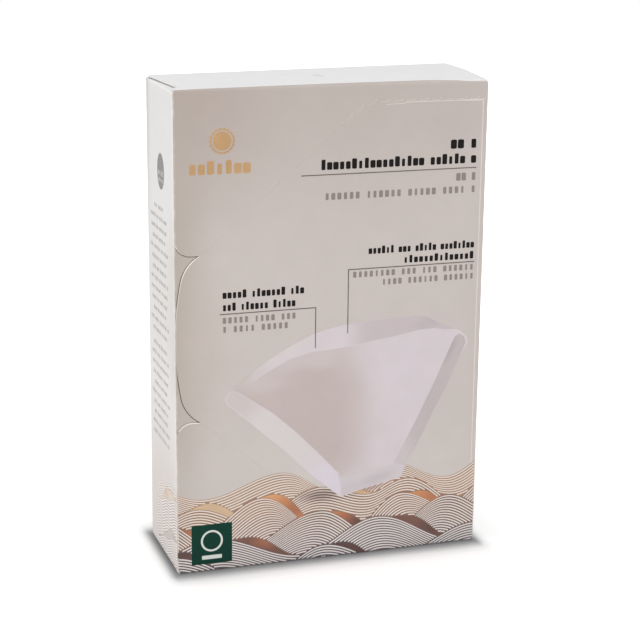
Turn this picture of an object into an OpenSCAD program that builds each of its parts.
// A sealed folding carton for paper coffee filters, closed and full, standing on its bottom closure.
// The origin is the middle of the bottom, +Z is up, the front with its tear-open door faces -Y,
// and the side panel with the glued seam faces -X. All sizes are in millimetres.

/* [Carton] */
// Width of the front panel, fold to fold
carton_w = 124; // [112:0.5:138]
// Depth of the side panels, fold to fold
carton_d = 44; // [36:0.5:54]
// Height of the front panel, fold to fold
carton_h = 188; // [172:0.5:206]
// Thickness of the folding board
board_t = 0.45; // [0.35:0.05:0.6]
// Outer radius of the folds
fold_r = 0.9; // [0.8:0.1:1.4]

/* [Closures] */
// How far the outer flap's left edge lies inside the side panel, at its fold and at the back
flap_left_inset = 0.8; // [0.6:0.1:1.6]
// How far the relief in the outer flap's left edge cuts in at its deepest
flap_relief = 3; // [1.5:0.1:4]
// Depth from the front fold at which that relief starts
flap_relief_start = 4; // [3:0.5:6]
// Depth from the front fold at which that relief is deepest, before it runs out towards the back
flap_relief_deepest = 7; // [6.5:0.5:10]
// How far the outer flap's right edge lies inside the side panel
flap_right_inset = 0.6; // [0.3:0.1:2]
// How far the outer flap stops short of the back panel
flap_back_inset = 1; // [0.5:0.1:3]
// Radius of the outer flap's two free corners
flap_corner_r = 1.5; // [0.5:0.1:4]
// How far the inner flap lies inside the side panels at its fold
inner_root_inset = 2.6; // [2:0.1:4]
// How far the inner flap lies inside the side panels past its relief
inner_flap_inset = 6; // [4.5:0.5:10]
// Depth from the back fold at which the inner flap's relief ends
inner_relief_end = 9; // [6:0.5:14]
// How far the upper outer flap springs up at its back right corner
flap_lift = 1.1; // [0.8:0.1:2.4]
// Depth from the front fold over which the flap climbs to its full lift
lift_reach = 22; // [16:0.5:30]
// Depth of the opening under the sprung edges, before the glue holds
lip_depth = 7; // [5:0.5:10]
// Length along the front and left of the sprung flap that lies tight
lip_start = 8; // [5:0.5:14]

/* [Glued seam] */
// Distance from the back panel to the raw edge of the side panel that laps the glue flap
seam_inset = 4.8; // [3:0.1:8]
// How far the glue flap's corner lies inside the side panel that laps it
seam_step = 0.3; // [0.15:0.05:0.45]

/* [Tear-open door] */
// Reach of the thumb tab's two points from the left fold
tab_reach = 9.9; // [8:0.1:13]
// Height between the thumb tab's two points
tab_h = 65; // [56:0.5:76]
// How far the door's middle lies below the middle of the front panel
door_drop = 0.4; // [0:0.1:3]
// Distance from the left fold to the tab's long edge at its middle
tab_edge_inset = 0.3; // [0:0.05:1]
// Radius of the tab's long edge, which runs along the left fold
tab_edge_r = 120; // [100:1:170]
// Radius of the tab's edge where it turns to its points
tab_turn_r = 15; // [12:0.5:18]
// Radius of the outer cut where it leaves the left fold
horn_r = 6.2; // [4:0.1:8]
// How far the two loose horns beside the tab are pressed in
horn_drop = 0.26; // [0.1:0.02:0.34]
// Width of the cuts round the tab
slit_w = 0.34; // [0.2:0.02:0.44]
// Depth of the cuts round the tab
slit_depth = 0.44; // [0.36:0.02:0.6]
// Slope of the tear lines that start at the tab's points
tear_angle = 40.3; // [35:0.1:48]
// Radius at which a tear line turns level
tear_bend_r = 18; // [8:0.5:30]
// Distance from the top of the front panel to the upper tear line
tear_margin = 7; // [4:0.5:12]
// Bridge of uncut board between a tab's point and the first stitch
tear_bridge = 1.2; // [0.6:0.1:3]
// Distance between the starts of two stitches along a tear line
stitch_pitch = 5.2; // [4.6:0.1:8]
// Width of a stitch
stitch_w = 0.2; // [0.1:0.05:0.35]
// Depth of a stitch, which only scores the printed face
stitch_depth = 0.1; // [0.06:0.01:0.3]
// Length of a stitch's straight cut
stitch_len = 3.2; // [2:0.1:3.8]
// Length of the hook at a stitch's end
hook_len = 1.4; // [0.8:0.1:2.2]
// Angle between a stitch and its hook
hook_angle = 38; // [25:1:60]
// Distance from the right fold to the door's hinge crease
hinge_inset = 2.1; // [1.9:0.1:4]
// Width of the hinge crease
crease_w = 0.5; // [0.3:0.05:0.8]
// Depth of the hinge crease
crease_depth = 0.12; // [0.06:0.01:0.2]

/* [Hidden] */
$fn = 64;

// How far a cutter or a flap's blank runs past the face that trims it
over = 1;

// A closure is three layers of board: dust flaps, inner flap, outer flap; the corners tie them to the walls
dust_flap_z = 2 * board_t;
root_z = dust_flap_z + fold_r;
root_d = 2 * fold_r;

// Left and right edges of the outer flap, and its back edge
flap_x0 = -carton_w / 2 + flap_left_inset;
flap_x1 = carton_w / 2 - flap_right_inset;
flap_y1 = carton_d / 2 - flap_back_inset;
// Where the outer flap leaves the front fold
fold_y = -carton_d / 2 + fold_r;

// The door's middle, and the levels of a tab's point and of the tear line above that middle
door_mid = carton_h / 2 - door_drop;
tip_v = tab_h / 2;
tear_v = carton_h - tear_margin - door_mid;

// Centre of the tab's long edge, and the centre of the turn that touches it and ends at the tab's point
edge_centre = [tab_edge_inset + tab_edge_r, 0];
turn_centre = circles_meet(edge_centre, tab_edge_r - tab_turn_r, [tab_reach, tip_v], tab_turn_r);
// Height at which the long edge becomes the turn
turn_v = turn_centre[1] * tab_edge_r / (tab_edge_r - tab_turn_r);
// Centre of the round start of the outer cut
horn_centre = [tab_edge_inset + horn_r, tip_v + horn_r];

// A tear line is slanted, then turns, then runs level to the hinge crease
bend_tangent = tear_bend_r * tan(tear_angle / 2);
tear_corner = tab_reach + (tear_v - tip_v) / tan(tear_angle);
hinge_u = carton_w - hinge_inset;
slant_len = (tear_v - tip_v) / sin(tear_angle) - bend_tangent;
bend_len = tear_bend_r * tear_angle * PI / 180;
level_len = hinge_u - tear_corner - bend_tangent;
stitch_count = floor((slant_len + bend_len + level_len - tear_bridge) / stitch_pitch);

// The point left of the line from p to q where circles of radius rp round p and rq round q cross
function circles_meet(p, rp, q, rq) =
    let (d = norm(q - p), along = (rp * rp - rq * rq + d * d) / (2 * d), dir = (q - p) / d)
    p + along * dir + sqrt(rp * rp - along * along) * [-dir[1], dir[0]];

// The direction of the upper tear line at a length along it
function tear_heading(s) =
    s < slant_len ? tear_angle
    : s < slant_len + bend_len ? tear_angle * (1 - (s - slant_len) / bend_len)
    : 0;

// A point on the upper tear line, from the left fold and from the door's middle
function tear_point(s) =
    s < slant_len
        ? [tab_reach + s * cos(tear_angle), tip_v + s * sin(tear_angle)]
    : s < slant_len + bend_len
        ? [tear_corner + bend_tangent - tear_bend_r * sin(tear_heading(s)),
           tear_v - tear_bend_r * (1 - cos(tear_heading(s)))]
        : [tear_corner + bend_tangent + s - slant_len - bend_len, tear_v];

// A rectangle from low to high with a radius for each corner, from low left round to high left
module corner_rect(low, high, radii) {
    corners = [
        [low[0], low[1], 0, 0],
        [high[0], low[1], 1, 0],
        [high[0], high[1], 1, 1],
        [low[0], high[1], 0, 1]
    ];
    difference() {
        translate(low) square(high - low);
        for (i = [0:3]) if (radii[i] > 0)
            translate([corners[i][0], corners[i][1]])
                mirror([corners[i][2], 0]) mirror([0, corners[i][3]])
                    difference() {
                        translate([-over, -over]) square(radii[i] + over);
                        translate([radii[i], radii[i]]) circle(radii[i]);
                    }
    }
}

// Extrudes an outline drawn in Y and Z along X, between two places
module along_x(x0, x1) {
    translate([x0, 0, 0]) rotate([90, 0, 90]) linear_extrude(x1 - x0) children();
}

// Extrudes an outline drawn in X and Z along Y, between two places
module along_y(y0, y1) {
    translate([0, y1, 0]) rotate([90, 0, 0]) linear_extrude(y1 - y0) children();
}

// The wrapped walls seen from above: the seam side laps the glue flap and ends in a raw edge
module wall_plan() {
    corner_rect([-carton_w / 2 + seam_step, -carton_d / 2], [carton_w / 2, carton_d / 2],
        [fold_r, fold_r, fold_r, fold_r]);
    corner_rect([-carton_w / 2, -carton_d / 2], [0, carton_d / 2 - seam_inset], [fold_r, 0, 0, 0]);
}

// The full carton between its closures, with the dust flaps folded in from both sides
module filled_walls() {
    intersection() {
        linear_extrude(carton_h) wall_plan();
        along_y(-carton_d / 2 - over, carton_d / 2 + over)
            corner_rect([-carton_w / 2, dust_flap_z], [carton_w / 2, carton_h - dust_flap_z],
                [fold_r, fold_r, fold_r, fold_r]);
    }
}

// One half of the inner flap from above, cut back past its relief
module inner_half_plan() {
    polygon([
        [0, carton_d / 2],
        [0, fold_y],
        [carton_w / 2 - inner_flap_inset, fold_y],
        [carton_w / 2 - inner_flap_inset, carton_d / 2 - inner_relief_end],
        [carton_w / 2 - inner_root_inset, carton_d / 2 - root_d],
        [carton_w / 2 - inner_root_inset, carton_d / 2]
    ]);
}

// The flap folded forward from the back panel, under the outer flap
module inner_flap() {
    intersection() {
        translate([0, 0, -root_z]) linear_extrude(root_z) {
            inner_half_plan();
            mirror([1, 0]) inner_half_plan();
        }
        along_x(-carton_w / 2, carton_w / 2)
            corner_rect([-carton_d / 2, -root_z], [carton_d / 2, -board_t], [0, 0, fold_r, 0]);
    }
}

// The outer flap from above, with its relief on the left and its two free corners rounded
module outer_flap_plan() {
    difference() {
        intersection() {
            wall_plan();
            corner_rect([flap_x0, -carton_d / 2], [flap_x1, flap_y1], [0, 0, flap_corner_r, flap_corner_r]);
        }
        polygon([
            [flap_x0 - over, -carton_d / 2 + flap_relief_start],
            [flap_x0, -carton_d / 2 + flap_relief_start],
            [flap_x0 + flap_relief, -carton_d / 2 + flap_relief_deepest],
            [flap_x0, flap_y1 - flap_corner_r],
            [flap_x0 - over, flap_y1 - flap_corner_r]
        ]);
    }
}

// The fold that turns the front panel into the outer flap
module outer_flap_root() {
    intersection() {
        translate([0, 0, -root_z]) linear_extrude(root_z) outer_flap_plan();
        along_x(-carton_w / 2, carton_w / 2)
            corner_rect([-carton_d / 2, -root_z], [-carton_d / 2 + root_d, 0], [0, 0, 0, fold_r]);
    }
}

// Everything below a face that climbs from the front fold and from the left edge, over a flat level
module below_sprung_face(level) {
    climb_back = atan(flap_lift / lift_reach);
    climb_right = atan(flap_lift / (flap_x1 - flap_x0));
    block = 3 * carton_w;
    intersection() {
        translate([0, fold_y, level]) rotate([climb_back, 0, 0])
            translate([-block / 2, -block / 2, -block]) cube(block);
        translate([flap_x0, 0, level]) rotate([0, -climb_right, 0])
            translate([-block / 2, -block / 2, -block]) cube(block);
    }
}

// The strips behind and to the right where the sprung flap has come away from what it is glued to
module lip_strips() {
    translate([0, 0, -board_t]) linear_extrude(board_t + flap_lift + over) {
        translate([flap_x0 + lip_start, flap_y1 - lip_depth]) square([carton_w, lip_depth + over]);
        translate([flap_x1 - lip_depth, fold_y + lip_start]) square([lip_depth + over, carton_d]);
    }
}

// The outer flap glued down flat
module flat_outer_flap() {
    outer_flap_root();
    translate([0, 0, -board_t]) linear_extrude(board_t) intersection() {
        outer_flap_plan();
        translate([-carton_w / 2, fold_y]) square([carton_w, carton_d]);
    }
}

// The outer flap with its back right corner sprung up
module sprung_outer_flap() {
    outer_flap_root();
    difference() {
        intersection() {
            translate([0, 0, -board_t]) linear_extrude(board_t + flap_lift + over) intersection() {
                outer_flap_plan();
                translate([-carton_w / 2, fold_y]) square([carton_w, carton_d]);
            }
            below_sprung_face(0);
            along_x(-carton_w, carton_w)
                translate([-carton_d, -board_t]) square([2 * carton_d, board_t + flap_lift]);
        }
        intersection() {
            lip_strips();
            below_sprung_face(-board_t);
        }
    }
}

// The walls and both closures as one filled block
module closed_block() {
    filled_walls();
    translate([0, 0, carton_h]) {
        inner_flap();
        sprung_outer_flap();
    }
    mirror([0, 0, 1]) {
        inner_flap();
        flat_outer_flap();
    }
}

// Places an outline drawn on the front panel, from its left fold and the door's middle, as a cutter
module into_front(depth) {
    translate([-carton_w / 2, 0, door_mid])
        along_y(-carton_d / 2 - over, -carton_d / 2 + depth) children();
}

// Draws an outline and its mirror image below the door's middle
module both_halves() {
    children();
    mirror([0, 1]) children();
}

// The upper half of the thumb tab, with its curved edge moved out by a cut's width
module half_tab(grow) {
    intersection() {
        translate(edge_centre) circle(tab_edge_r + grow, $fn = 360);
        translate([-over, 0]) square([tab_edge_r, turn_v]);
    }
    translate(turn_centre) circle(tab_turn_r + grow);
    translate([turn_centre[0], 0]) square([tab_edge_r, tip_v]);
}

// The loose horn of board between the tab's edge, the outer cut and the left fold
module horn() {
    difference() {
        union() {
            translate([-over, 0]) square([over + turn_centre[0], tip_v]);
            translate([-over, tip_v - over]) square([over + horn_centre[0], over + horn_r]);
        }
        translate(horn_centre) circle(horn_r);
        half_tab(0);
    }
}

// The cut lines round the horn, along the tab's edge and along the outer cut
module horn_slits() {
    intersection() {
        horn();
        union() {
            half_tab(slit_w);
            translate(horn_centre) circle(horn_r + slit_w);
            translate([horn_centre[0], tip_v - slit_w]) square([turn_centre[0], slit_w]);
        }
    }
}

// One stitch of a tear line: a straight cut with a hook that catches a tear on its way
module stitch(s) {
    translate(tear_point(s)) rotate(tear_heading(s + stitch_len / 2)) {
        translate([0, -stitch_w / 2]) square([stitch_len, stitch_w]);
        translate([stitch_len - stitch_w / 2, 0]) rotate(hook_angle)
            translate([0, -stitch_w / 2]) square([hook_len, stitch_w]);
    }
}

// The crease that the torn-open door would swing on
module hinge_crease() {
    translate([hinge_u - crease_w / 2, -tear_v]) square([crease_w, 2 * tear_v]);
}

// Everything that the cutting die left in the front panel
module door_cuts() {
    into_front(horn_drop) both_halves() horn();
    into_front(slit_depth) both_halves() horn_slits();
    into_front(stitch_depth) both_halves() for (i = [0:stitch_count - 1])
        stitch(tear_bridge + i * stitch_pitch);
    into_front(crease_depth) hinge_crease();
}

module carton() {
    color([0.80, 0.76, 0.73])
        difference() {
            closed_block();
            door_cuts();
        }
}

carton();
